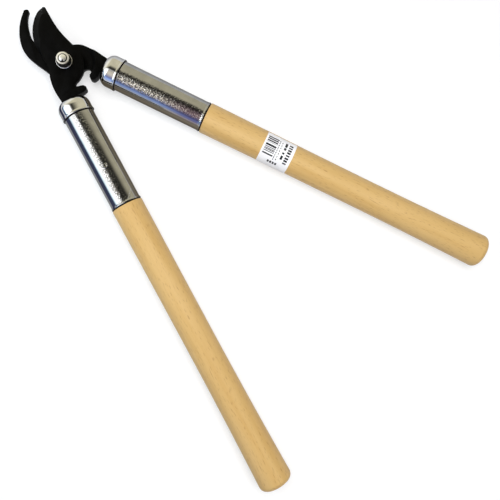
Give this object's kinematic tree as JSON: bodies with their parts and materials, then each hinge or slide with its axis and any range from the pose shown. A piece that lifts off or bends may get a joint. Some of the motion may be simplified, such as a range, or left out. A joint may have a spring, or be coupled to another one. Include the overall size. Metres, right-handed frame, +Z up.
{
  "type": "bypass loppers",
  "caption": "Two-handed bypass loppers: a curved cutting blade and a counter hook that turn on a bolt, with stop lugs, ferrules and turned wooden handles.",
  "frame": {"origin": "on the surface that the tool lies on, under the middle of its outline", "axes": "+Y along the line midway between the handles, towards the jaws; +X towards the counter hook's handle; +Z up, along the pivot bolt, from its head to its nut"},
  "size_m": [0.3546, 0.5188, 0.0354],
  "materials": {
    "blackened_forged_steel": "black oxide, satin",
    "zinc_plated_steel": "zinc plated",
    "bright_plated_steel": "bright plated",
    "turned_beech": "clear varnish",
    "white_paper": "matt"
  },
  "bodies": {
    "hook_half": {"counter_hook": "blackened_forged_steel", "pivot_bolt": "zinc_plated_steel", "pivot_nut": "zinc_plated_steel", "nut_washer": "zinc_plated_steel", "head_washer": "zinc_plated_steel", "ferrule_right": "bright_plated_steel", "ferrule_cap_right": "bright_plated_steel", "ferrule_pin_right": "zinc_plated_steel", "handle_right": "turned_beech", "paper_label": "white_paper"},
    "blade_half": {"cutting_blade": "blackened_forged_steel", "ferrule_left": "bright_plated_steel", "ferrule_cap_left": "bright_plated_steel", "ferrule_pin_left": "zinc_plated_steel", "handle_left": "turned_beech"}
  },
  "joints": [
    {"name": "jaw_pivot", "type": "hinge", "parent": "hook_half", "child": "blade_half", "pos_m": [0, 0.19339, 0.0177], "axis": [0, 0, -1], "range_deg": [-16, 50]}
  ]
}
